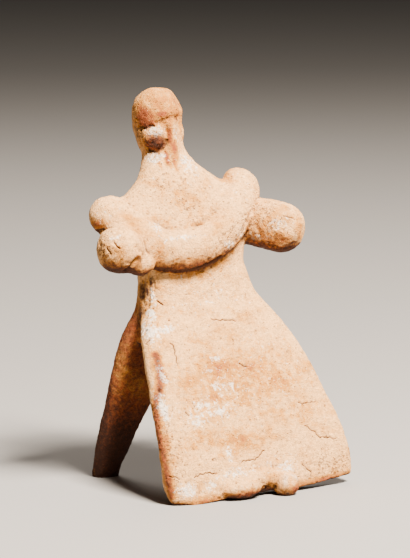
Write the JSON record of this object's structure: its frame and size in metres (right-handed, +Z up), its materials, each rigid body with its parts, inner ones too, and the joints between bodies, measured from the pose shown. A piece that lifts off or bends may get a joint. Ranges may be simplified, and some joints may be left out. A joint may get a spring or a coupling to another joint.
{
  "type": "terracotta figurine",
  "caption": "Hand-modelled fired-clay figurine standing on a flared skirt slab and rear legs, with arm stubs, a roll of clay over the chest and a capped, pinched face.",
  "frame": {"origin": "on the ground, under the middle of the bounding box", "axes": "+Z up, along the height; the figure faces -Y and its own right side is at -X"},
  "size_m": [0.0728, 0.064, 0.1196],
  "materials": {
    "terracotta": "matt, unglazed"
  },
  "bodies": {
    "root": {"figurine": "terracotta"}
  },
  "joints": []
}
